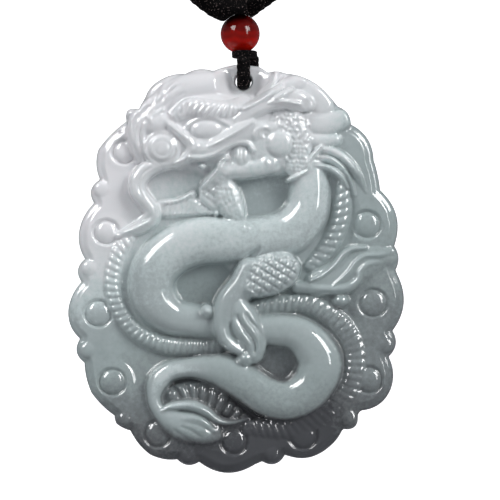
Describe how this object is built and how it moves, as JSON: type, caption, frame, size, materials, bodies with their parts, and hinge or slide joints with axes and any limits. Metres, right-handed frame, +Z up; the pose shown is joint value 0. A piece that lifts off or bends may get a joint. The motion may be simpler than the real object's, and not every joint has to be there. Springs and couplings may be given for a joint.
{
  "type": "carved jade pendant on a cord",
  "caption": "Flat oval pendant of carved pale jade with a coiled dragon in relief, on a thin loop, a knot and a round bead under a black braided neck cord.",
  "frame": {"origin": "under the top of the neck cord, where it lies on the neck", "axes": "+Z up, the carved front faces -Y, +X to the right seen from the front"},
  "size_m": [0.1482, 0.0107, 0.3349],
  "materials": {
    "jade": "polished",
    "agate": "polished",
    "cord": "braided"
  },
  "bodies": {
    "cord": {"neck_cord": "cord", "bead_thread": "cord", "agate_bead": "agate", "collar_knot": "cord", "hanging_loop": "cord"},
    "pendant": {"jade_plaque": "jade"}
  },
  "joints": [
    {"name": "pendant_swing", "type": "hinge", "parent": "cord", "child": "pendant", "pos_m": [0, 0, -0.27287], "axis": [0, 1, 0], "range_deg": [-20, 20]}
  ]
}
